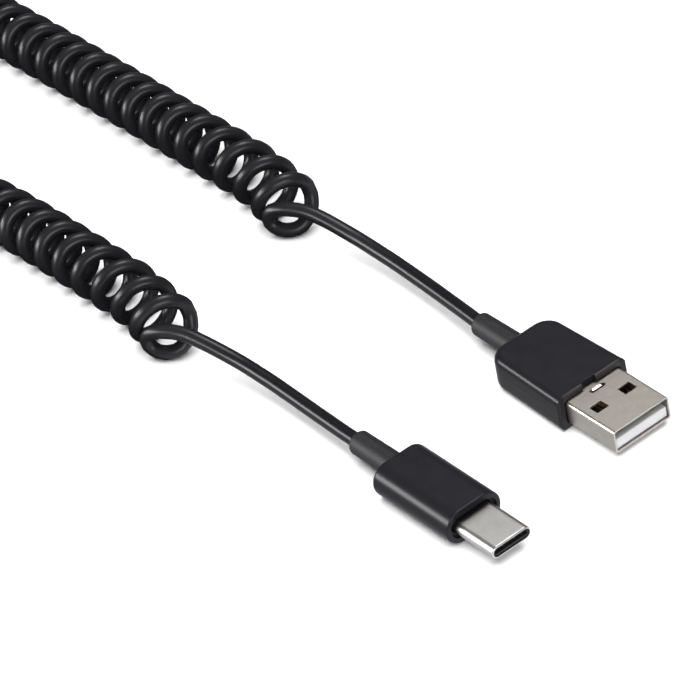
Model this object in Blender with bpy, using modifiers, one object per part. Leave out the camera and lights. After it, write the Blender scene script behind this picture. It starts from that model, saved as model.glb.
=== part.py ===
"""A curly charging cable with a wide flat plug at one end and a small oval plug at the other.

The cable lies on the floor, z = 0. Both plugs point along +X, the wide one on the +Y side.
Their leads run back along -X to the two ends of one coil, which turns round in a U.
Units are metres, +Z is up, and the pair of plugs is centred on the origin.
"""

import math

import bmesh
import bpy
from mathutils import Matrix, Vector

MM = 0.001

# Places of the two plugs
PLUG_SPACING = 32.95 * MM
PLUG_STAGGER = 5.3 * MM

# Fits between the pieces
JOINT_GAP = 0.3 * MM
SHELL_FIT = 0.15 * MM
CORE_FIT = 0.10 * MM
CONTACT_FIT = 0.05 * MM

# Wide plug, measured back from the mouth of its shell
A_SHELL_WIDTH = 12.0 * MM
A_SHELL_HEIGHT = 4.5 * MM
A_SHELL_WALL = 0.32 * MM
A_SHELL_CORNER = 0.6 * MM
A_SHELL_EXPOSED = 11.9 * MM
A_SHELL_SEATED = 6.0 * MM
A_WINDOW_WIDTH = 2.55 * MM
A_WINDOW_LENGTH = 2.1 * MM
A_WINDOW_SETBACK = 6.73 * MM
A_WINDOW_OFFSET = 3.1 * MM
A_SLOT_WIDTH = 3.2 * MM
A_SLOT_LENGTH = 1.0 * MM
A_SLOT_SETBACK = 10.6 * MM
A_TAB_WIDTH = 1.9 * MM
A_TAB_LENGTH = 0.75 * MM
A_TAB_DROP = math.radians(14)

A_TONGUE_THICKNESS = 1.95 * MM
A_TONGUE_SETBACK = 0.35 * MM
A_MOUTH_DEPTH = 10.8 * MM
A_CORE_EDGE = 0.18 * MM
A_CONTACT_WIDTH = 1.0 * MM
A_CONTACT_THICKNESS = 0.2 * MM
A_CONTACT_OFFSETS = (3.5 * MM, 1.0 * MM)
A_CONTACT_SETBACKS = (1.05 * MM, 2.0 * MM)

A_BODY_WIDTH = 15.1 * MM
A_BODY_REAR_WIDTH = 14.05 * MM
A_BODY_HEIGHT = 6.9 * MM
A_BODY_LENGTH = 18.95 * MM
A_BODY_REAR_CORNER = 3.5 * MM
A_BODY_EDGE = 1.5 * MM
A_BODY_FRONT_EDGE = 0.45 * MM
A_NOTCH_WIDTH = 2.9 * MM
A_NOTCH_OFFSET = -0.5 * MM
A_NOTCH_DEPTH = 0.55 * MM

A_RELIEF_LENGTH = 9.75 * MM
A_RELIEF_DIAMETER = 4.45 * MM
A_RELIEF_END_DIAMETER = 4.25 * MM

# Small plug, measured back from the mouth of its shell
C_SHELL_WIDTH = 8.25 * MM
C_SHELL_HEIGHT = 2.40 * MM
C_SHELL_WALL = 0.3 * MM
C_SHELL_LIP = 0.22 * MM
C_SHELL_EXPOSED = 9.3 * MM
C_SHELL_SEATED = 3.5 * MM

C_CORE_SETBACK = 0.25 * MM
C_SLOT_WIDTH = 6.8 * MM
C_SLOT_HEIGHT = 0.85 * MM
C_SLOT_DEPTH = 6.5 * MM
C_CONTACT_WIDTH = 0.28 * MM
C_CONTACT_THICKNESS = 0.10 * MM
C_CONTACT_LENGTH = 3.6 * MM
C_CONTACT_SETBACK = 0.6 * MM
C_CONTACT_OFFSETS = (-2.75 * MM, -1.25 * MM, 1.25 * MM, 2.75 * MM)

C_BODY_WIDTH = 11.5 * MM
C_BODY_HEIGHT = 6.46 * MM
C_BODY_LENGTH = 19.2 * MM
C_BODY_FRONT_EDGE = 0.3 * MM
C_BODY_REAR_EDGE = 0.7 * MM
C_RECESS_WIDTH = 9.7 * MM
C_RECESS_HEIGHT = 4.1 * MM
C_RECESS_DEPTH = 0.7 * MM

C_RELIEF_LENGTH = 10.0 * MM
C_RELIEF_DIAMETER = 4.5 * MM
C_RELIEF_END_DIAMETER = 4.35 * MM

RELIEF_SHOULDER = 0.45 * MM

# Cord, and the coil as the space that its turns fill
CORD_DIAMETER = 2.6 * MM
COIL_DIAMETER = 10.5 * MM
LEAD_STEP = 6.5 * MM
COIL_STEP = 6.0 * MM

# The route of each stretch of cord, in millimetres, from the plug's side to the far side
A_LEAD_ROUTE = ((-27.0, 15.9, 3.42), (-36.0, 16.55, 3.3), (-46.0, 16.95, 3.4), (-51.0, 16.9, 3.6),
                (-57.0, 16.5, 4.2))
A_LEAD_END = ((-63.8, 15.2, 5.3), (-70.4, 13.8, 5.9))
C_LEAD_ROUTE = ((-19.0, -17.4, 3.2), (-28.0, -17.15, 3.1), (-37.0, -17.05, 3.3), (-41.4, -17.25, 3.6),
                (-47.0, -17.8, 4.2))
C_LEAD_END = ((-54.0, -19.0, 5.2), (-60.8, -20.5, 5.8))
COIL_ROUTE = ((-71.0, 15.3), (-87.0, 15.7), (-112.0, 15.3), (-132.0, 14.7), (-150.0, 14.0), (-160.5, 13.2),
              (-169.6, 9.9), (-176.2, 4.2), (-179.0, -3.4), (-177.7, -11.0), (-172.0, -17.2), (-163.5, -21.0),
              (-153.0, -22.1), (-130.0, -21.5), (-102.3, -19.4), (-77.3, -18.95), (-61.4, -19.3))

# Finishes: colour, metallic, roughness
BODY_BLACK = ((0.030, 0.030, 0.033), 0.0, 0.35)
RELIEF_BLACK = ((0.032, 0.032, 0.035), 0.0, 0.6)
CORD_BLACK = ((0.018, 0.018, 0.020), 0.0, 0.3)
NICKEL = ((0.62, 0.59, 0.55), 1.0, 0.28)
CORE_WHITE = ((0.82, 0.82, 0.80), 0.0, 0.4)
CORE_BLACK = ((0.012, 0.012, 0.012), 0.0, 0.4)
GOLD = ((0.85, 0.62, 0.25), 1.0, 0.25)

# Worked out from the sizes above
A_LENGTH = A_SHELL_EXPOSED + A_BODY_LENGTH + JOINT_GAP + A_RELIEF_LENGTH
A_MOUTH = Vector(((A_LENGTH - PLUG_STAGGER) / 2,
                  (PLUG_SPACING - (A_BODY_WIDTH - C_BODY_WIDTH) / 2) / 2,
                  A_BODY_HEIGHT / 2))
C_MOUTH = Vector((A_MOUTH.x + PLUG_STAGGER, A_MOUTH.y - PLUG_SPACING, C_BODY_HEIGHT / 2))

# Local x, y, z of a flat outline laid across the cable's plugs: world Y, Z and X
ACROSS = Matrix(((0, 0, 1, 0), (1, 0, 0, 0), (0, 1, 0, 0), (0, 0, 0, 1)))
# and of one laid along them, seen from the side: world X, Z and -Y
ALONG = Matrix(((1, 0, 0, 0), (0, 0, -1, 0), (0, 1, 0, 0), (0, 0, 0, 1)))


def clear_scene():
    for obj in list(bpy.data.objects):
        bpy.data.objects.remove(obj, do_unlink=True)


def new_collection(name):
    collection = bpy.data.collections.new(name)
    bpy.context.scene.collection.children.link(collection)
    return collection


def make_material(name, finish):
    colour, metallic, roughness = finish
    material = bpy.data.materials.new(name)
    material.use_nodes = True
    shader = material.node_tree.nodes["Principled BSDF"]
    shader.inputs["Base Color"].default_value = (*colour, 1.0)
    shader.inputs["Metallic"].default_value = metallic
    shader.inputs["Roughness"].default_value = roughness
    material.diffuse_color = (*colour, 1.0)
    return material


def add_piece(name, mesh, finish):
    mesh.name = name
    obj = bpy.data.objects.new(name, mesh)
    CABLE.objects.link(obj)
    mesh.materials.clear()
    mesh.materials.append(make_material(name, finish))
    return obj


def add_cutter(name, mesh):
    obj = bpy.data.objects.new(name, mesh)
    CUTTERS.objects.link(obj)
    obj.hide_render = True
    obj.display_type = 'WIRE'
    return obj


def boolean(obj, cutter, operation='DIFFERENCE'):
    modifier = obj.modifiers.new(operation.title(), 'BOOLEAN')
    modifier.operation = operation
    modifier.object = cutter
    modifier.solver = 'EXACT'


def weighted_bevel(obj, width, segments):
    modifier = obj.modifiers.new("Bevel", 'BEVEL')
    modifier.width = width
    modifier.segments = segments
    modifier.limit_method = 'WEIGHT'


def set_bevel_weights(mesh, weight_of_edge):
    """Give each edge the share of the bevel width that weight_of_edge(start, end) names."""
    layer = mesh.attributes.new("bevel_weight_edge", 'FLOAT', 'EDGE')
    for edge in mesh.edges:
        start, end = (mesh.vertices[index].co for index in edge.vertices)
        layer.data[edge.index].value = weight_of_edge(start, end)


def shade_round(mesh, angle=40):
    mesh.shade_smooth()
    mesh.set_sharp_from_angle(angle=math.radians(angle))


def rounded_outline(width, height, corner, segments=4):
    """A rectangle with round corners, anticlockwise; a stadium when corner is half its height."""
    outline = []
    for quarter, (side_u, side_v) in enumerate(((1, 1), (-1, 1), (-1, -1), (1, -1))):
        centre_u = side_u * (width / 2 - corner)
        centre_v = side_v * (height / 2 - corner)
        for step in range(segments + 1):
            angle = math.pi / 2 * (quarter + step / segments)
            outline.append((centre_u + corner * math.cos(angle), centre_v + corner * math.sin(angle)))
    kept = [point for index, point in enumerate(outline)
            if (Vector(point) - Vector(outline[index - 1])).length > 1e-7]
    return kept


def extruded_mesh(outline, length, matrix, filled=True):
    """A flat outline given a thickness about its own plane; an open tube when it isn't filled."""
    curve = bpy.data.curves.new("outline", 'CURVE')
    curve.dimensions = '2D' if filled else '3D'
    curve.fill_mode = 'BOTH' if filled else 'FULL'
    curve.extrude = length / 2
    spline = curve.splines.new('POLY')
    spline.points.add(len(outline) - 1)
    for point, (u, v) in zip(spline.points, outline):
        point.co = (u, v, 0, 1)
    spline.use_cyclic_u = True
    guide = bpy.data.objects.new("outline", curve)
    bpy.context.scene.collection.objects.link(guide)
    mesh = mesh_of_curve(guide)
    mesh.transform(matrix)
    return mesh


def mesh_of_curve(guide):
    """The curve object's evaluated mesh, its caps welded on; the curve object is removed."""
    bpy.context.view_layer.update()
    evaluated = guide.evaluated_get(bpy.context.evaluated_depsgraph_get())
    mesh = bpy.data.meshes.new_from_object(evaluated)
    work = bmesh.new()
    work.from_mesh(mesh)
    bmesh.ops.remove_doubles(work, verts=work.verts, dist=1e-6)
    bmesh.ops.recalc_face_normals(work, faces=work.faces)
    work.to_mesh(mesh)
    work.free()
    bpy.data.objects.remove(guide, do_unlink=True)
    return mesh


def across(front_x, length, y, z):
    """Places an outline's prism so that it runs back from front_x, centred on y and z."""
    return Matrix.Translation((front_x - length / 2, y, z)) @ ACROSS


def block_mesh(size, centre):
    work = bmesh.new()
    bmesh.ops.create_cube(work, size=1.0)
    bmesh.ops.scale(work, verts=work.verts, vec=size)
    bmesh.ops.translate(work, verts=work.verts, vec=centre)
    mesh = bpy.data.meshes.new("block")
    work.to_mesh(mesh)
    work.free()
    return mesh


def make_strain_relief(name, front, length, diameter, end_diameter):
    """A turned sleeve, wider at the plug, with a rounded shoulder where the cord enters."""
    profile = [(0.0, length), (diameter / 2, length)]
    shoulder_centre = end_diameter / 2 - RELIEF_SHOULDER
    for step in range(5):
        angle = math.pi / 2 * step / 4
        profile.append((shoulder_centre + RELIEF_SHOULDER * math.cos(angle),
                        RELIEF_SHOULDER * (1 - math.sin(angle))))
    profile.append((0.0, 0.0))
    mesh = bpy.data.meshes.new(name)
    mesh.from_pydata([(radius, 0.0, height) for radius, height in profile],
                     [(index, index + 1) for index in range(len(profile) - 1)], [])
    obj = add_piece(name, mesh, RELIEF_BLACK)
    obj.location = front - Vector((length, 0, 0))
    obj.rotation_euler = (0, math.pi / 2, 0)
    screw = obj.modifiers.new("Screw", 'SCREW')
    screw.axis = 'Z'
    screw.steps = 24
    screw.render_steps = 24
    screw.use_merge_vertices = True
    screw.merge_threshold = 1e-6
    screw.use_smooth_shade = True
    return obj


def make_a_shell():
    length = A_SHELL_EXPOSED + A_SHELL_SEATED
    outline = rounded_outline(A_SHELL_WIDTH, A_SHELL_HEIGHT, A_SHELL_CORNER)
    mesh = extruded_mesh(outline, length, across(A_MOUTH.x, length, A_MOUTH.y, A_MOUTH.z), filled=False)
    shade_round(mesh)
    obj = add_piece("a_shell", mesh, NICKEL)
    solidify = obj.modifiers.new("Solidify", 'SOLIDIFY')
    solidify.thickness = A_SHELL_WALL
    solidify.offset = -1
    for side in (-1, 1):
        centre = A_MOUTH + Vector((-A_WINDOW_SETBACK, side * A_WINDOW_OFFSET, 0))
        window = block_mesh((A_WINDOW_LENGTH, A_WINDOW_WIDTH, 2 * A_SHELL_HEIGHT), centre)
        boolean(obj, add_cutter("a_window_cut", window))
    wall_middle = A_SHELL_HEIGHT / 2 - A_SHELL_WALL / 2
    slot_matrix = Matrix.Translation(A_MOUTH + Vector((-A_SLOT_SETBACK, 0, wall_middle)))
    slot_outline = rounded_outline(A_SLOT_LENGTH, A_SLOT_WIDTH, A_SLOT_LENGTH / 2)
    slot = extruded_mesh(slot_outline, 4 * A_SHELL_WALL, slot_matrix)
    boolean(obj, add_cutter("a_slot_cut", slot))
    # The lug in the slot is bent down out of the wall behind it
    tab = block_mesh((A_TAB_LENGTH, A_TAB_WIDTH, A_SHELL_WALL * 0.8), (A_TAB_LENGTH / 2 - A_SHELL_WALL, 0, 0))
    hinge = A_MOUTH + Vector((-A_SLOT_SETBACK - A_SLOT_LENGTH / 2, 0, wall_middle))
    tab.transform(Matrix.Translation(hinge) @ Matrix.Rotation(A_TAB_DROP, 4, 'Y'))
    boolean(obj, add_cutter("a_tab_lug", tab), 'UNION')


def make_a_insulator():
    """The white core: a solid block at the back and a tongue along the floor of the mouth."""
    room = A_SHELL_WALL + CORE_FIT
    back = A_SHELL_EXPOSED + A_SHELL_SEATED
    floor = -A_SHELL_HEIGHT / 2 + room
    ceiling = A_SHELL_HEIGHT / 2 - room
    step = floor + A_TONGUE_THICKNESS
    side_view = [(-back, floor), (-A_TONGUE_SETBACK, floor), (-A_TONGUE_SETBACK, step),
                 (-A_MOUTH_DEPTH, step), (-A_MOUTH_DEPTH, ceiling), (-back, ceiling)]
    width = A_SHELL_WIDTH - 2 * room
    mesh = extruded_mesh(side_view, width, Matrix.Translation(A_MOUTH) @ ALONG)
    obj = add_piece("a_insulator", mesh, CORE_WHITE)
    bevel = obj.modifiers.new("Bevel", 'BEVEL')
    bevel.width = A_CORE_EDGE
    bevel.segments = 2
    bevel.limit_method = 'ANGLE'


def make_a_contacts():
    tongue_top = A_MOUTH.z - A_SHELL_HEIGHT / 2 + A_SHELL_WALL + CORE_FIT + A_TONGUE_THICKNESS
    places = ((1, 0), (1, 1), (-1, 1), (-1, 0))
    for number, (side, pair) in enumerate(places, start=1):
        front = -A_TONGUE_SETBACK - A_CONTACT_SETBACKS[pair]
        back = -A_MOUTH_DEPTH + CORE_FIT
        centre = Vector((A_MOUTH.x + (front + back) / 2,
                         A_MOUTH.y + side * A_CONTACT_OFFSETS[pair],
                         tongue_top + CONTACT_FIT + A_CONTACT_THICKNESS / 2))
        mesh = block_mesh((front - back, A_CONTACT_WIDTH, A_CONTACT_THICKNESS), centre)
        add_piece(f"a_contact_{number}", mesh, GOLD)


def make_a_body():
    """The wide overmould: sides that draw in a little to round corners at the back, edges softened."""
    front = A_MOUTH.x - A_SHELL_EXPOSED
    front_half = A_BODY_WIDTH / 2
    rear_half = A_BODY_REAR_WIDTH / 2
    corner = A_BODY_REAR_CORNER
    back_centre = front - A_BODY_LENGTH + corner
    taper = math.degrees(math.atan2(front_half - rear_half, A_BODY_LENGTH - corner))
    steps = 8
    plan = [(front, -front_half), (front, front_half)]
    for side, start in ((1, 90 + taper), (-1, 180)):
        for step in range(steps + 1):
            angle = math.radians(start + (90 - taper) * step / steps)
            plan.append((back_centre + corner * math.cos(angle),
                         side * (rear_half - corner) + corner * math.sin(angle)))
    matrix = Matrix.Translation((0, A_MOUTH.y, A_BODY_HEIGHT / 2))
    mesh = extruded_mesh(plan, A_BODY_HEIGHT, matrix)

    def weight(start, end):
        both_in_front = min(start.x, end.x) > front - 1e-6
        upright = abs(start.z - end.z) > A_BODY_HEIGHT / 2
        if both_in_front:
            return A_BODY_FRONT_EDGE / A_BODY_EDGE
        return 0.0 if upright else 1.0

    bmesh_dissolve_flat(mesh)
    set_bevel_weights(mesh, weight)
    shade_round(mesh, 50)
    obj = add_piece("a_body", mesh, BODY_BLACK)
    weighted_bevel(obj, A_BODY_EDGE, 4)

    seat = A_SHELL_SEATED + JOINT_GAP
    outline = rounded_outline(A_SHELL_WIDTH + 2 * SHELL_FIT, A_SHELL_HEIGHT + 2 * SHELL_FIT,
                              A_SHELL_CORNER + SHELL_FIT)
    pocket = extruded_mesh(outline, 2 * seat, across(front + seat, 2 * seat, A_MOUTH.y, A_MOUTH.z))
    boolean(obj, add_cutter("a_seat_cut", pocket))
    notch_floor = A_MOUTH.z + A_SHELL_HEIGHT / 2
    notch_height = A_BODY_HEIGHT - notch_floor + A_BODY_EDGE
    notch = block_mesh((2 * A_NOTCH_DEPTH, A_NOTCH_WIDTH, notch_height),
                       (front, A_MOUTH.y + A_NOTCH_OFFSET, notch_floor + notch_height / 2))
    boolean(obj, add_cutter("a_notch_cut", notch))


def bmesh_dissolve_flat(mesh):
    """Join the triangles of flat faces, so that only real edges are left to bevel."""
    work = bmesh.new()
    work.from_mesh(mesh)
    bmesh.ops.dissolve_limit(work, angle_limit=math.radians(1), verts=work.verts, edges=work.edges)
    work.to_mesh(mesh)
    work.free()


def make_c_shell():
    length = C_SHELL_EXPOSED + C_SHELL_SEATED
    outline = rounded_outline(C_SHELL_WIDTH, C_SHELL_HEIGHT, C_SHELL_HEIGHT / 2, segments=6)
    mesh = extruded_mesh(outline, length, across(C_MOUTH.x, length, C_MOUTH.y, C_MOUTH.z))
    bmesh_dissolve_flat(mesh)
    set_bevel_weights(mesh, lambda start, end: 1.0 if min(start.x, end.x) > C_MOUTH.x - 1e-6 else 0.0)
    shade_round(mesh)
    obj = add_piece("c_shell", mesh, NICKEL)
    weighted_bevel(obj, C_SHELL_LIP, 3)
    inner = rounded_outline(C_SHELL_WIDTH - 2 * C_SHELL_WALL, C_SHELL_HEIGHT - 2 * C_SHELL_WALL,
                            C_SHELL_HEIGHT / 2 - C_SHELL_WALL, segments=6)
    bore_length = length + 2 * C_SHELL_WALL
    bore_place = across(C_MOUTH.x + C_SHELL_WALL, bore_length, C_MOUTH.y, C_MOUTH.z)
    bore = extruded_mesh(inner, bore_length, bore_place)
    boolean(obj, add_cutter("c_shell_bore", bore))


def make_c_insulator():
    """The black core of the small plug, with the blind slot that the socket's tongue enters."""
    room = 2 * (C_SHELL_WALL + CORE_FIT)
    width = C_SHELL_WIDTH - room
    height = C_SHELL_HEIGHT - room
    front = C_MOUTH.x - C_CORE_SETBACK
    length = C_SHELL_EXPOSED + C_SHELL_SEATED - C_CORE_SETBACK
    outline = rounded_outline(width, height, height / 2, segments=5)
    mesh = extruded_mesh(outline, length, across(front, length, C_MOUTH.y, C_MOUTH.z))
    obj = add_piece("c_insulator", mesh, CORE_BLACK)
    slot = block_mesh((2 * C_SLOT_DEPTH, C_SLOT_WIDTH, C_SLOT_HEIGHT), (front, C_MOUTH.y, C_MOUTH.z))
    boolean(obj, add_cutter("c_slot_cut", slot))


def make_c_contacts():
    front = C_MOUTH.x - C_CORE_SETBACK - C_CONTACT_SETBACK
    lift = C_SLOT_HEIGHT / 2 - CONTACT_FIT - C_CONTACT_THICKNESS / 2
    for row, side in (("lower", -1), ("upper", 1)):
        for number, offset in enumerate(C_CONTACT_OFFSETS, start=1):
            centre = Vector((front - C_CONTACT_LENGTH / 2, C_MOUTH.y + offset, C_MOUTH.z + side * lift))
            mesh = block_mesh((C_CONTACT_LENGTH, C_CONTACT_WIDTH, C_CONTACT_THICKNESS), centre)
            add_piece(f"c_{row}_contact_{number}", mesh, GOLD)


def make_c_body():
    """The small overmould: a stadium in section, with a stepped oval mouth round the shell."""
    front = C_MOUTH.x - C_SHELL_EXPOSED
    back = front - C_BODY_LENGTH
    outline = rounded_outline(C_BODY_WIDTH, C_BODY_HEIGHT, C_BODY_HEIGHT / 2, segments=8)
    mesh = extruded_mesh(outline, C_BODY_LENGTH, across(front, C_BODY_LENGTH, C_MOUTH.y, C_MOUTH.z))
    bmesh_dissolve_flat(mesh)

    def weight(start, end):
        if min(start.x, end.x) > front - 1e-6:
            return C_BODY_FRONT_EDGE / C_BODY_REAR_EDGE
        return 1.0 if max(start.x, end.x) < back + 1e-6 else 0.0

    set_bevel_weights(mesh, weight)
    shade_round(mesh)
    obj = add_piece("c_body", mesh, BODY_BLACK)
    weighted_bevel(obj, C_BODY_REAR_EDGE, 3)

    recess_outline = rounded_outline(C_RECESS_WIDTH, C_RECESS_HEIGHT, C_RECESS_HEIGHT / 2, segments=6)
    recess = extruded_mesh(recess_outline, 2 * C_RECESS_DEPTH,
                           across(front + C_RECESS_DEPTH, 2 * C_RECESS_DEPTH, C_MOUTH.y, C_MOUTH.z))
    boolean(obj, add_cutter("c_recess_cut", recess))
    seat = C_SHELL_SEATED + JOINT_GAP
    seat_height = C_SHELL_HEIGHT + 2 * SHELL_FIT
    seat_outline = rounded_outline(C_SHELL_WIDTH + 2 * SHELL_FIT, seat_height, seat_height / 2, segments=6)
    pocket = extruded_mesh(seat_outline, 2 * seat, across(front + seat, 2 * seat, C_MOUTH.y, C_MOUTH.z))
    boolean(obj, add_cutter("c_seat_cut", pocket))


def smooth_path(route, spacing):
    """Points at an even spacing along a Catmull-Rom curve through the route's points."""
    knots = [Vector(point) for point in route]
    knots = [2 * knots[0] - knots[1]] + knots + [2 * knots[-1] - knots[-2]]
    fine = []
    for before, start, end, after in zip(knots, knots[1:], knots[2:], knots[3:]):
        for step in range(24):
            t = step / 24
            fine.append(0.5 * (2 * start + (end - before) * t
                               + (2 * before - 5 * start + 4 * end - after) * t ** 2
                               + (3 * start - before - 3 * end + after) * t ** 3))
    fine.append(knots[-2])
    distance = [0.0]
    for start, end in zip(fine, fine[1:]):
        distance.append(distance[-1] + (end - start).length)
    count = max(2, round(distance[-1] / spacing))
    path, index = [], 0
    for number in range(count + 1):
        target = distance[-1] * number / count
        while index < len(fine) - 2 and distance[index + 1] < target:
            index += 1
        share = (target - distance[index]) / (distance[index + 1] - distance[index])
        path.append(fine[index].lerp(fine[index + 1], share))
    return path


def make_tube(name, path, diameter, resolution, finish):
    curve = bpy.data.curves.new(name, 'CURVE')
    curve.dimensions = '3D'
    curve.twist_mode = 'Z_UP'
    curve.bevel_depth = diameter / 2
    curve.bevel_resolution = resolution
    curve.use_fill_caps = True
    spline = curve.splines.new('POLY')
    spline.points.add(len(path) - 1)
    for point, place in zip(spline.points, path):
        point.co = (*place, 1)
    curve.materials.append(make_material(name, finish))
    CABLE.objects.link(bpy.data.objects.new(name, curve))


def make_cord():
    a_start = A_MOUTH - Vector((A_LENGTH + JOINT_GAP, 0, 0))
    c_length = C_SHELL_EXPOSED + C_BODY_LENGTH + JOINT_GAP + C_RELIEF_LENGTH
    c_start = C_MOUTH - Vector((c_length + JOINT_GAP, 0, 0))
    for name, start, route, end in (("a_lead", a_start, A_LEAD_ROUTE, A_LEAD_END),
                                    ("c_lead", c_start, C_LEAD_ROUTE, C_LEAD_END)):
        points = [start] + [Vector(point) * MM for point in (*route, *end)]
        make_tube(name, smooth_path(points, LEAD_STEP), CORD_DIAMETER, 2, CORD_BLACK)
    coil = [(x * MM, y * MM, COIL_DIAMETER / 2) for x, y in COIL_ROUTE]
    make_tube("coil", smooth_path(coil, COIL_STEP), COIL_DIAMETER, 4, CORD_BLACK)


clear_scene()
CABLE = new_collection("curly_cable")
CUTTERS = new_collection("cutters")

make_a_shell()
make_a_insulator()
make_a_contacts()
make_a_body()
make_strain_relief("a_strain_relief", A_MOUTH - Vector((A_LENGTH - A_RELIEF_LENGTH, 0, 0)),
                   A_RELIEF_LENGTH, A_RELIEF_DIAMETER, A_RELIEF_END_DIAMETER)
make_c_shell()
make_c_insulator()
make_c_contacts()
make_c_body()
make_strain_relief("c_strain_relief", C_MOUTH - Vector((C_SHELL_EXPOSED + C_BODY_LENGTH + JOINT_GAP, 0, 0)),
                   C_RELIEF_LENGTH, C_RELIEF_DIAMETER, C_RELIEF_END_DIAMETER)
make_cord()
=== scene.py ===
"""Looks of a curly charging cable: the turns of its cord, the finish of each piece, the light and the camera.

Lengths are in metres. Both plugs point along +X, +Z is up and the floor is z = 0.
"""

import math

import bmesh
import bpy
from mathutils import Matrix, Quaternion, Vector


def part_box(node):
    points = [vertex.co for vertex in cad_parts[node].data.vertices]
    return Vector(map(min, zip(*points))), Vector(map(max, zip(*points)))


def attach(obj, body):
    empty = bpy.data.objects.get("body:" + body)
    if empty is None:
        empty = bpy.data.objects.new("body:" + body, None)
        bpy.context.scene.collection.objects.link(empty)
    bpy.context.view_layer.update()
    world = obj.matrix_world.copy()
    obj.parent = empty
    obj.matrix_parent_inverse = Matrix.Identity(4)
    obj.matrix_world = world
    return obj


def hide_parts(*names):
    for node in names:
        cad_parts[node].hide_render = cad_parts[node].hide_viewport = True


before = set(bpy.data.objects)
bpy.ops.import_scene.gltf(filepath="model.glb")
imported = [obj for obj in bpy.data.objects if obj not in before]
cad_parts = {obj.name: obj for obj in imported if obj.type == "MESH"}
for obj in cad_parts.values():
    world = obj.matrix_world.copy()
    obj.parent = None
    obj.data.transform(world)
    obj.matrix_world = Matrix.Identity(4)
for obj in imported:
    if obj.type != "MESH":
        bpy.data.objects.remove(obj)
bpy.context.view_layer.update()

MM = 0.001

# Camera, with its lens in millimetres for a 36 mm sensor
CAMERA_PLACE = Vector((627.14, -426.04, 625.44)) * MM
CAMERA_AIM = Vector((-38.59, -0.81, 0.0)) * MM
CAMERA_ROLL = math.radians(11.39)
CAMERA_LENS = 308.57

# Cord
CORD_DIAMETER = 2.6 * MM
CORD_SIDES = 20
LEAD_STEP = 1.0 * MM
CURVE_STEPS = 24
SLEEVE_OVERLAP = 0.2 * MM

# Leads, in millimetres, from the strain relief to the loop that ends the coil
A_LEAD_ROUTE = ((-27.0, 15.9, 3.42), (-36.0, 16.55, 3.3), (-46.0, 16.95, 3.4), (-51.0, 16.9, 3.6),
                (-57.0, 16.5, 4.2))
C_LEAD_ROUTE = ((-19.0, -17.4, 3.2), (-28.0, -17.15, 3.1), (-37.0, -17.05, 3.3), (-41.4, -17.25, 3.6),
                (-47.0, -17.8, 4.2))

# The loop between the wide plug's lead and its end of the coil, in millimetres, and how far from it the
# small plug's loop lies
LOOP_ROUTE = ((-63.8, 15.0, 5.8), (-67.6, 13.7, 6.35), (-71.2, 11.7, 6.2), (-73.15, 10.6, 5.0),
              (-73.15, 10.6, 2.7), (-71.3, 11.8, 1.45), (-69.7, 14.3, 1.6), (-70.0, 17.2, 3.6))
LOOP_SHIFT = Vector((9.7, -34.65, 0.0))

# The line that the coil winds round, in millimetres, from the wide plug's end to the small plug's
COIL_ROUTE = ((-60.0, 15.0), (-76.0, 15.5), (-87.0, 15.7), (-112.0, 15.3), (-132.0, 14.7), (-150.0, 14.0),
              (-160.5, 13.2), (-169.6, 9.9), (-176.2, 4.2), (-179.0, -3.4), (-177.7, -11.0), (-172.0, -17.2),
              (-163.5, -21.0), (-153.0, -22.1), (-130.0, -21.5), (-102.3, -19.4), (-77.3, -18.95),
              (-66.3, -19.15), (-50.3, -19.65))

# The coil's turns: close together along it, and opened out towards each end
COIL_START = -71.8 * MM
TURN_PHASE = math.radians(3.9)
TURN_POINTS = 36
TURN_PITCH = 4.87 * MM
TURN_RADIUS = 4.08 * MM
TURN_LEAN = Vector((0.0, 0.10, -0.33))
OPEN_LENGTH = 35.5 * MM
OPEN_PITCH = 6.54 * MM
OPEN_RADIUS = 4.33 * MM
OPEN_LEAN = Vector((0.0, 0.10, 0.14))
END_LENGTH = 12.6 * MM
END_SHIFT = Vector((0.0, -1.1, 0.0)) * MM

# Where the coil's painted light grey fades to the leads' painted shade black, along X
COIL_LIGHT_END = -60.0 * MM
LEAD_SHADE_START = -40.0 * MM

# The plugs' finishes: the parting line, a painted reflection of the wide shell on the lip over it, painted
# shade and reflection of each body on the steel next to it, and painted shade on the ribbed core deep in the
# mouth
PARTING_WIDTH = 0.09 * MM
SHELL_REFLECTION_LENGTH = 0.4 * MM
SHELL_REFLECTION_FADE = 0.2 * MM
BODY_SHADE_START = -2.0 * MM
BODY_SHADE_END = 3.0 * MM
MOUTH_SHADE_DEPTH = 3.0 * MM
MOUTH_SHADE_FADE = 0.4 * MM

# Smoothing of the plugs' shapes
WELD_DISTANCE = 0.001 * MM
FLAT_ANGLE = math.radians(0.5)
CORNER_ANGLE = math.radians(32)
EDGE_ROUNDING = 0.08 * MM
EDGE_SEGMENTS = 2

# Floor, and the dark card under the coil, a painted shade for the shadowed floor in the coil's reflections
FLOOR_SIZE = 4.0
SHADE_CARD_LOW = Vector((-215, -62)) * MM
SHADE_CARD_HIGH = Vector((-60, 45)) * MM
SHADE_CARD_DEPTH = 0.5 * MM

# Lights: name, place, aim, size, watts, and the rays that don't see it
LIGHTS = (("light_left", (-0.45, -0.72, 0.27), (-0.04, 0.0, 0.0), (0.8, 0.26), 12.0, "diffuse"),
          ("light_above", (-0.22, 0.36, 0.95), (-0.04, 0.0, 0.0), (0.45, 0.45), 6.0, "diffuse"),
          ("light_front", (0.75, -0.25, 0.30), (0.0, 0.0, 0.0), (0.5, 0.4), 4.0, None),
          ("light_fill", (0.0, 0.0, 1.3), (0.0, 0.0, 0.0), (1.8, 1.8), 48.0, "glossy"))

# The room's light: bright below, brighter ahead of the plugs, and dim above the horizon
ROOM_COLOUR = (0.94, 0.96, 1.0)
TABLE_GLOW = 0.60
FRONT_GLOW = 1.2
ROOM_GLOW = 0.06
FRONT_FADE = (-0.4, 0.6)
HORIZON_FADE = (-0.15, 0.05)


# Places and lines

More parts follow.
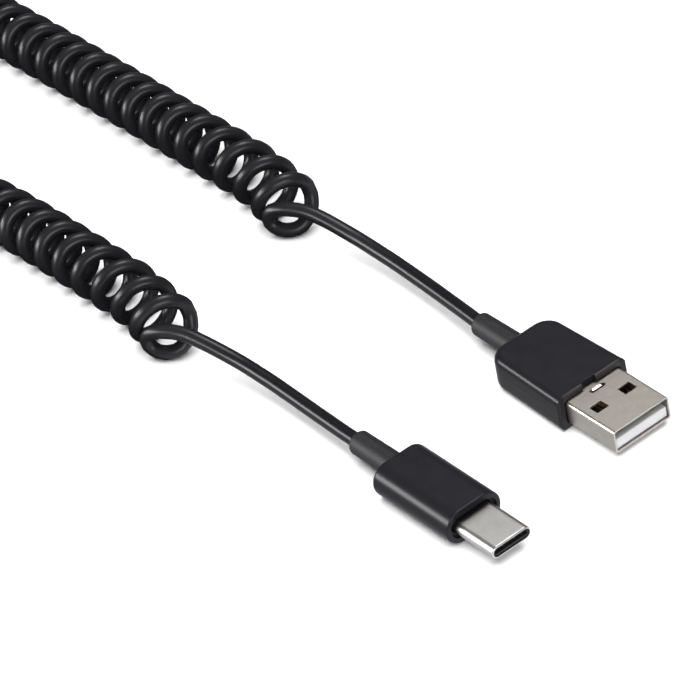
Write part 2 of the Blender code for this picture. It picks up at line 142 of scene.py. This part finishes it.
def middle(name, axis):
    """The middle of a node's box along an axis."""
    low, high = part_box(name)
    return (low[axis] + high[axis]) / 2


def smooth_path(points, step):
    """The points of a smooth curve through the given ones, evenly spaced by about a step."""
    knots = [2 * points[0] - points[1], *points, 2 * points[-1] - points[-2]]
    fine = []
    for before, start, end, after in zip(knots, knots[1:], knots[2:], knots[3:]):
        for count in range(CURVE_STEPS):
            t = count / CURVE_STEPS
            fine.append(0.5 * (2 * start + (end - before) * t
                               + (2 * before - 5 * start + 4 * end - after) * t ** 2
                               + (3 * start - before - 3 * end + after) * t ** 3))
    fine.append(points[-1])
    return evenly(fine, step)


def evenly(points, step):
    """A line's points put at even distances of about a step."""
    reach = [0.0]
    for start, end in zip(points, points[1:]):
        reach.append(reach[-1] + (end - start).length)
    count = max(1, round(reach[-1] / step))
    spaced = []
    index = 0
    for number in range(count + 1):
        place = reach[-1] * number / count
        while index < len(points) - 2 and reach[index + 1] < place:
            index += 1
        share = (place - reach[index]) / (reach[index + 1] - reach[index])
        spaced.append(points[index].lerp(points[index + 1], share))
    return spaced


def length_of(points):
    """The length of a line through the points."""
    return sum((end - start).length for start, end in zip(points, points[1:]))


def ease(share):
    """A share from 0 to 1 that leaves and reaches its ends slowly."""
    share = min(1.0, max(0.0, share))
    return share * share * (3 - 2 * share)


# The cord

def coil_line():
    """The line that the coil winds round, between the places where its turns start and end."""
    line = smooth_path([Vector((x, y, 0)) * MM for x, y in COIL_ROUTE], TURN_PITCH / TURN_POINTS)
    halfway = len(line) // 2
    start = min(range(halfway), key=lambda index: abs(line[index].x - COIL_START))
    end_x = COIL_START + LOOP_SHIFT.x * MM
    end = min(range(halfway, len(line)), key=lambda index: abs(line[index].x - end_x))
    return line[start:end]


def coil_turns():
    """The centreline of the coil's turns, from the wide plug's end to the small plug's.

    The number of turns is fitted so that both ends stop at the same height, on the same side.
    """
    line = coil_line()
    step = length_of(line) / (len(line) - 1)
    ends = [min(index, len(line) - 1 - index) * step for index in range(len(line))]
    opened = [ease(1 - distance / OPEN_LENGTH) for distance in ends]
    turns = [0.0]
    for share in opened[1:]:
        turns.append(turns[-1] + step / (TURN_PITCH + (OPEN_PITCH - TURN_PITCH) * share))
    end_turn = 0.5 - 2 * TURN_PHASE / math.tau
    fitted = (round(turns[-1] - end_turn) + end_turn) / turns[-1]
    points = []
    for index in range(1, len(line) - 1):
        along = (line[index + 1] - line[index - 1]).normalized()
        across = Vector((along.y, -along.x, 0))
        angle = TURN_PHASE + math.tau * turns[index] * fitted
        radius = TURN_RADIUS + (OPEN_RADIUS - TURN_RADIUS) * opened[index]
        lean = TURN_LEAN.lerp(OPEN_LEAN, opened[index])
        arm = radius * (math.cos(angle) * across + Vector((0, 0, math.sin(angle))))
        place = line[index] + arm + Vector((lean.dot(arm) * along.x ** 2, 0, 0))
        place += END_SHIFT * ease(1 - ends[index] / END_LENGTH)
        place.z += radius + CORD_DIAMETER / 2
        points.append(place)
    return points


def sleeve_end(name):
    """The place inside a strain relief's rear end where the cord leaves it."""
    return Vector((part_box(name)[0][0] + SLEEVE_OVERLAP, middle(name, 1), middle(name, 2)))


def cord_line():
    """The whole cord's centreline, from the wide plug's strain relief to the small plug's."""
    a_lead = [sleeve_end("a_strain_relief")] + [Vector(point) * MM for point in A_LEAD_ROUTE]
    c_lead = [sleeve_end("c_strain_relief")] + [Vector(point) * MM for point in C_LEAD_ROUTE]
    loop = [Vector(point) * MM for point in LOOP_ROUTE]
    c_loop = [(Vector(point) + LOOP_SHIFT) * MM for point in LOOP_ROUTE]
    turns = coil_turns()
    start = smooth_path(a_lead + loop + turns[:4:2], LEAD_STEP)
    end = smooth_path(turns[-3::2] + c_loop[::-1] + c_lead[::-1], LEAD_STEP)
    return start[:-2] + turns[2:-2] + end[2:]


def tube(name, points, diameter, sides):
    """A tube of round section along the points, as a curve of one open spline."""
    curve = bpy.data.curves.new(name, "CURVE")
    curve.dimensions = "3D"
    curve.bevel_depth = diameter / 2
    curve.bevel_resolution = (sides - 4) // 2
    curve.use_fill_caps = True
    spline = curve.splines.new("POLY")
    spline.points.add(len(points) - 1)
    for knot, point in zip(spline.points, points):
        knot.co = (*point, 1)
    spline.use_smooth = True
    piece = bpy.data.objects.new(name, curve)
    bpy.context.collection.objects.link(piece)
    return piece


# Finishes

class Field:
    """A number, colour or vector that varies over a surface. Arithmetic on it adds Math nodes."""

    def __init__(self, shading, socket):
        self.shading = shading
        self.socket = socket

    def math(self, operation, *values):
        """A Math node of the operation on the values."""
        return self.shading.node("ShaderNodeMath", {"operation": operation}, dict(enumerate(values)))

    def __add__(self, other):
        return self.math("ADD", self, other)

    def __radd__(self, other):
        return self.math("ADD", other, self)

    def __sub__(self, other):
        return self.math("SUBTRACT", self, other)

    def __rsub__(self, other):
        return self.math("SUBTRACT", other, self)

    def __mul__(self, other):
        return self.math("MULTIPLY", self, other)

    def __rmul__(self, other):
        return self.math("MULTIPLY", other, self)

    def __abs__(self):
        return self.math("ABSOLUTE", self)


class Shading:
    """The nodes of a material or the room, made one by one round its shader."""

    def __init__(self, owner, shader):
        owner.use_nodes = True
        self.tree = owner.node_tree
        self.shader = self.tree.nodes[shader]

    def node(self, kind, settings, sockets, output=0):
        """Add a node, set it, then give its sockets their values or links."""
        node = self.tree.nodes.new(kind)
        for name, value in settings.items():
            setattr(node, name, value)
        for name, value in sockets.items():
            self.feed(node.inputs[name], value)
        return Field(self, node.outputs[output])

    def feed(self, socket, value):
        """Link a socket to a field, or set its value."""
        if isinstance(value, Field):
            self.tree.links.new(value.socket, socket)
        elif isinstance(value, (tuple, list)) and len(socket.default_value) == 4:
            socket.default_value = (*value, 1)
        else:
            socket.default_value = value

    def set(self, name, value):
        """Feed one of the shader's own sockets."""
        self.feed(self.shader.inputs[name], value)

    def axis(self, name, space="Object"):
        """One coordinate of a point on the object, in metres, or of a direction into the room."""
        place = self.node("ShaderNodeTexCoord", {}, {}, output=space)
        return self.node("ShaderNodeSeparateXYZ", {}, {"Vector": place}, output=name)


class Finish(Shading):
    """A material, with the constant values of its shader's sockets."""

    def __init__(self, name, constants):
        self.material = bpy.data.materials.new(name)
        super().__init__(self.material, "Principled BSDF")
        for socket, value in constants.items():
            self.set(socket, value)

    def noise(self, size, detail=2.0, roughness=0.5, stretch=(1, 1, 1)):
        """Cloudy noise from 0 to 1, with patches of about the size, longer where the stretch is under 1."""
        place = self.node("ShaderNodeTexCoord", {}, {}, output="Object")
        place = self.node("ShaderNodeMapping", {}, {"Vector": place, "Scale": stretch})
        return self.node("ShaderNodeTexNoise", {},
                         {"Vector": place, "Scale": 1 / size, "Detail": detail, "Roughness": roughness})

    def rise(self, value, low, high):
        """0 where a value is under the low one, 1 over the high one, and smooth between them."""
        return self.node("ShaderNodeMapRange", {"interpolation_type": "SMOOTHSTEP"},
                         {"Value": value, "From Min": low, "From Max": high})

    def line(self, value, centre, width):
        """1 along a thin line where a value is near the centre, and 0 away from it, with soft edges."""
        return 1 - self.rise(abs(value - centre), width * 0.3, width * 0.7)

    def blend(self, share, first, second):
        """A colour between two, by the node's sockets for colours, which share their names with others."""
        return self.node("ShaderNodeMix", {"data_type": "RGBA"}, {0: share, 6: first, 7: second}, output=2)

    def relief(self, *layers):
        """Bump the surface by layers, each a height from 0 to 1 and its depth in metres."""
        normal = None
        for height, depth in layers:
            sockets = {"Height": height, "Distance": depth, "Strength": 1.0}
            if normal is not None:
                sockets["Normal"] = normal
            normal = self.node("ShaderNodeBump", {}, sockets)
        self.set("Normal", normal)


def body_moulding(name, body):
    """Satin black moulding with a fine sparked grain and a parting line round its sides."""
    finish = Finish(name, {"Specular IOR Level": 0.18})
    clouds = finish.noise(3 * MM, detail=3)
    grain = finish.noise(0.16 * MM, detail=2, roughness=0.6)
    seam = finish.line(finish.axis("Z"), middle(body, 2), PARTING_WIDTH)
    skin = finish.blend(clouds, (0.0085, 0.0082, 0.0100), (0.0115, 0.0112, 0.0135))
    finish.set("Roughness", 0.24 + 0.06 * clouds + 0.04 * grain)
    finish.relief((grain, 0.002 * MM), (1 - seam, 0.02 * MM))
    return finish, skin, seam


def wide_body_plastic():
    """The wide plug's moulding, painted paler in front, over its shell and either side of the notch, as a
    painted reflection of the shell.
    """
    finish, skin, _ = body_moulding("body_black_wide", "a_body")
    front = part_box("a_body")[1][0]
    low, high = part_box("a_shell")
    reach = (high[1] - low[1]) / 2
    above = finish.rise(finish.axis("Z"), high[2] - SHELL_REFLECTION_FADE / 2, high[2] + SHELL_REFLECTION_FADE / 2)
    ahead = finish.rise(finish.axis("X"), front - SHELL_REFLECTION_LENGTH, front - SHELL_REFLECTION_LENGTH + SHELL_REFLECTION_FADE)
    beside = finish.rise(abs(finish.axis("Y") - middle("a_shell", 1)), reach, reach + SHELL_REFLECTION_LENGTH)
    # Painted reflection: the front lip over the shell is paler and warmer, for the shell's light top mirrored
    # in it
    finish.set("Base Color", finish.blend(ahead * above * (1 - beside), skin, (0.030, 0.026, 0.024)))
    return finish.material


def small_body_plastic():
    """The small plug's moulding, darker along its parting line."""
    finish, skin, seam = body_moulding("body_black_small", "c_body")
    finish.set("Base Color", finish.blend(seam, skin, (0.003, 0.003, 0.003)))
    return finish.material


def relief_plastic():
    """Matte black sleeve with a fine, mottled grain."""
    finish = Finish("relief_black", {"Specular IOR Level": 0.4})
    blotches = finish.noise(0.3 * MM, detail=4, roughness=0.65)
    grain = finish.noise(0.10 * MM, detail=2)
    mottle = finish.rise(blotches, 0.35, 0.7)
    finish.set("Base Color", finish.blend(mottle, (0.003, 0.003, 0.004), (0.012, 0.012, 0.014)))
    finish.set("Roughness", 0.48 + 0.2 * blotches)
    finish.relief((blotches, 0.03 * MM), (grain, 0.008 * MM))
    return finish.material


def plated_steel(name, body, tone, patch_and_shade_tone, roughness, shade):
    """Plated sheet steel with fine rolling lines and cloudy patches.

    Next to the plug's body its colour is darkened as painted shade and painted reflection of the dark body,
    as dark as the shade makes it.
    """
    finish = Finish(name, {"Metallic": 1.0})
    rolled = finish.noise(0.10 * MM, detail=2, stretch=(0.04, 1, 1))
    clouds = finish.noise(1.6 * MM, detail=4, roughness=0.6)
    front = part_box(body)[1][0]
    clear = finish.rise(finish.axis("X"), front + BODY_SHADE_START, front + BODY_SHADE_END)
    steel = finish.blend(finish.rise(clouds, 0.3, 0.75), tone, patch_and_shade_tone)
    # Painted shade: the steel darkens towards the body, for the body's shadow and its dark reflection
    finish.set("Base Color", finish.blend(clear, [shade * part for part in patch_and_shade_tone], steel))
    finish.set("Roughness", roughness + 0.12 * clouds + 0.06 * rolled)
    finish.relief((rolled, 0.0012 * MM), (clouds, 0.003 * MM))
    return finish.material


def white_plastic():
    """Semi-matte white core moulding, painted dark and ribbed deep in the mouth, as painted shade inside the
    shell.
    """
    finish = Finish("core_white", {"Subsurface Weight": 0.1, "Subsurface Scale": 0.8 * MM})
    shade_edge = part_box("a_insulator")[1][0] - MOUTH_SHADE_DEPTH
    clouds = finish.noise(1.2 * MM, detail=3)
    ribs = finish.rise(finish.noise(0.35 * MM, detail=1, stretch=(0.03, 1, 1)), 0.4, 0.6)
    # Painted shade: behind its front the white turns dark brown, for the shadow inside the shell
    deep = 1 - finish.rise(finish.axis("X"), shade_edge - MOUTH_SHADE_FADE, shade_edge)
    white = finish.blend(clouds, (0.48, 0.48, 0.49), (0.53, 0.53, 0.54))
    dark = finish.blend(ribs, (0.020, 0.015, 0.011), (0.110, 0.074, 0.050))
    finish.set("Base Color", finish.blend(deep, white, dark))
    finish.set("Roughness", 0.42 + 0.12 * clouds)
    finish.relief((finish.noise(0.2 * MM), 0.004 * MM), (ribs * deep, 0.05 * MM))
    return finish.material


def black_plastic():
    """Dull black moulding, of the core deep in the small plug's mouth and of the card of painted shade."""
    finish = Finish("core_black", {})
    clouds = finish.noise(0.6 * MM, detail=3)
    finish.set("Base Color", finish.blend(clouds, (0.008, 0.008, 0.008), (0.016, 0.016, 0.016)))
    finish.set("Roughness", 0.5 + 0.2 * clouds)
    finish.relief((finish.noise(0.12 * MM), 0.003 * MM))
    return finish.material


def gold_plate():
    """Gold-plated contact with faint wiping marks along it."""
    finish = Finish("contact_gold", {"Metallic": 1.0})
    wiped = finish.noise(0.08 * MM, detail=2, stretch=(0.05, 1, 1))
    clouds = finish.noise(0.5 * MM, detail=2)
    finish.set("Base Color", finish.blend(clouds, (0.60, 0.42, 0.18), (0.50, 0.33, 0.13)))
    finish.set("Roughness", 0.24 + 0.14 * wiped)
    finish.relief((wiped, 0.001 * MM))
    return finish.material


def cord_jacket():
    """Smooth black jacket, a little dulled in patches, and painted greyer on the coil than on the leads as
    painted light.
    """
    finish = Finish("cord_black", {"Specular IOR Level": 0.27})
    clouds = finish.noise(2.5 * MM, detail=3)
    skin = finish.noise(0.22 * MM, detail=2)
    coil = finish.blend(clouds, (0.008, 0.008, 0.0093), (0.0115, 0.0115, 0.0132))
    lead = finish.blend(clouds, (0.0045, 0.0045, 0.0053), (0.0065, 0.0065, 0.0075))
    # Painted light: the coil's jacket is painted lighter and the leads' darker, for the light that falls on
    # each
    towards_plug = finish.rise(finish.axis("X"), COIL_LIGHT_END, LEAD_SHADE_START)
    finish.set("Base Color", finish.blend(towards_plug, coil, lead))
    finish.set("Roughness", 0.24 + 0.10 * clouds + 0.05 * skin)
    finish.relief((skin, 0.003 * MM), (clouds, 0.01 * MM))
    return finish.material


def floor_paint():
    """Pale, even studio floor."""
    finish = Finish("floor_white", {})
    clouds = finish.noise(60 * MM, detail=2)
    finish.set("Base Color", finish.blend(clouds, (0.92, 0.92, 0.92), (0.94, 0.94, 0.94)))
    finish.set("Roughness", 0.75 + 0.1 * clouds)
    return finish.material


def dress(material, *nodes):
    """Give the material to CAD nodes."""
    for name in nodes:
        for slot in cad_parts[name].material_slots:
            slot.material = material


# The pieces

def add_cord():
    """The cord, which stands for the three solids of its stretches."""
    points = cord_line()
    cord = tube("cord", points, CORD_DIAMETER, CORD_SIDES)
    cord.data.materials.append(cord_jacket())
    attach(cord, "root")
    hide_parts("a_lead", "coil", "c_lead")
    length_of(points)


def smoothed(name, material):
    """A piece with a node's shape, its curved faces shaded as one and its corners kept."""
    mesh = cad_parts[name].data.copy()
    mesh.name = name + "_smooth"
    shape = bmesh.new()
    shape.from_mesh(mesh)
    bmesh.ops.remove_doubles(shape, verts=shape.verts, dist=WELD_DISTANCE)
    bmesh.ops.dissolve_limit(shape, angle_limit=FLAT_ANGLE, verts=shape.verts, edges=shape.edges)
    shape.to_mesh(mesh)
    shape.free()
    mesh.shade_smooth()
    mesh.set_sharp_from_angle(angle=CORNER_ANGLE)
    mesh.materials.clear()
    mesh.materials.append(material)
    piece = bpy.data.objects.new(mesh.name, mesh)
    bpy.context.collection.objects.link(piece)
    rounding = piece.modifiers.new("edges", "BEVEL")
    rounding.width = EDGE_ROUNDING
    rounding.segments = EDGE_SEGMENTS
    rounding.limit_method = "ANGLE"
    rounding.angle_limit = CORNER_ANGLE
    weighted = piece.modifiers.new("flats", "WEIGHTED_NORMAL")
    weighted.keep_sharp = True
    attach(piece, "root")
    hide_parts(name)


def dress_plugs():
    """Smoothed copies in place of the plugs' outer pieces, and a finish on the nodes that stay."""
    smoothed("a_body", wide_body_plastic())
    smoothed("c_body", small_body_plastic())
    sleeve = relief_plastic()
    smoothed("a_strain_relief", sleeve)
    smoothed("c_strain_relief", sleeve)
    smoothed("a_shell",
             plated_steel("steel_warm", "a_body", tone=(0.60, 0.56, 0.51), patch_and_shade_tone=(0.53, 0.49, 0.44),
                          roughness=0.26, shade=0.85))
    smoothed("c_shell",
             plated_steel("steel_pale", "c_body", tone=(0.76, 0.74, 0.71), patch_and_shade_tone=(0.67, 0.65, 0.63),
                          roughness=0.24, shade=0.45))
    dress(white_plastic(), "a_insulator")
    dress(black_plastic(), "c_insulator")
    dress(gold_plate(), *[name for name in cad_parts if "contact" in name])


# The studio

def add_plane(name, low, high, height, material):
    """A flat rectangle between two corners at a height, which belongs to the studio."""
    mesh = bpy.data.meshes.new(name)
    shape = bmesh.new()
    bmesh.ops.create_grid(shape, x_segments=1, y_segments=1, size=0.5)
    bmesh.ops.scale(shape, vec=(*(high - low), 1), verts=shape.verts)
    bmesh.ops.translate(shape, vec=(*((low + high) / 2), height), verts=shape.verts)
    shape.to_mesh(mesh)
    shape.free()
    plane = bpy.data.objects.new(name, mesh)
    bpy.context.collection.objects.link(plane)
    mesh.materials.append(material)
    return plane


def add_floor():
    """The pale floor that the cable lies on, and a dark card of painted shade that only the coil's gloss
    shows.
    """
    corner = Vector((FLOOR_SIZE / 2, FLOOR_SIZE / 2))
    floor = add_plane("floor", -corner, corner, 0.0, floor_paint())
    floor.visible_glossy = False
    # Painted shade: the card stands for the shadowed floor under the coil, seen only in its reflections
    card = add_plane("shade_card", SHADE_CARD_LOW, SHADE_CARD_HIGH, -SHADE_CARD_DEPTH, black_plastic())
    card.visible_camera = False
    card.visible_diffuse = False
    card.visible_shadow = False


def look(place, aim, roll=0.0):
    """The placing of a camera or light that looks from a place towards a point."""
    turn = (aim - place).to_track_quat("-Z", "Y") @ Quaternion((0, 0, 1), -roll)
    return Matrix.LocRotScale(place, turn, None)


def add_light(name, place, aim, size, power, unseen):
    """A soft rectangular light, which one kind of ray may not see."""
    light = bpy.data.lights.new(name, "AREA")
    light.shape = "RECTANGLE"
    light.size, light.size_y = size
    light.energy = power
    lamp = bpy.data.objects.new(name, light)
    lamp.matrix_world = look(Vector(place), Vector(aim))
    lamp.visible_diffuse = unseen != "diffuse"
    lamp.visible_glossy = unseen != "glossy"
    bpy.context.collection.objects.link(lamp)


def add_room():
    """The light that comes from all round, by its direction, and plain colours in the picture."""
    world = bpy.data.worlds.new("studio")
    room = Shading(world, "Background")
    front = room.node("ShaderNodeMapRange", {},
                      {"Value": room.axis("X", "Generated"), "From Min": FRONT_FADE[0],
                       "From Max": FRONT_FADE[1], "To Min": TABLE_GLOW, "To Max": FRONT_GLOW})
    glow = room.node("ShaderNodeMapRange", {},
                     {"Value": room.axis("Z", "Generated"), "From Min": HORIZON_FADE[0],
                      "From Max": HORIZON_FADE[1], "To Min": front, "To Max": ROOM_GLOW})
    room.set("Color", ROOM_COLOUR)
    room.set("Strength", glow)
    bpy.context.scene.world = world
    bpy.context.scene.view_settings.view_transform = "Standard"


def add_camera():
    """The camera at the photograph's place."""
    lens = bpy.data.cameras.new("camera")
    lens.lens = CAMERA_LENS
    camera = bpy.data.objects.new("camera", lens)
    camera.matrix_world = look(CAMERA_PLACE, CAMERA_AIM, CAMERA_ROLL)
    bpy.context.collection.objects.link(camera)
    bpy.context.scene.camera = camera


add_camera()
add_cord()
dress_plugs()
add_floor()
add_room()
for light in LIGHTS:
    add_light(*light)
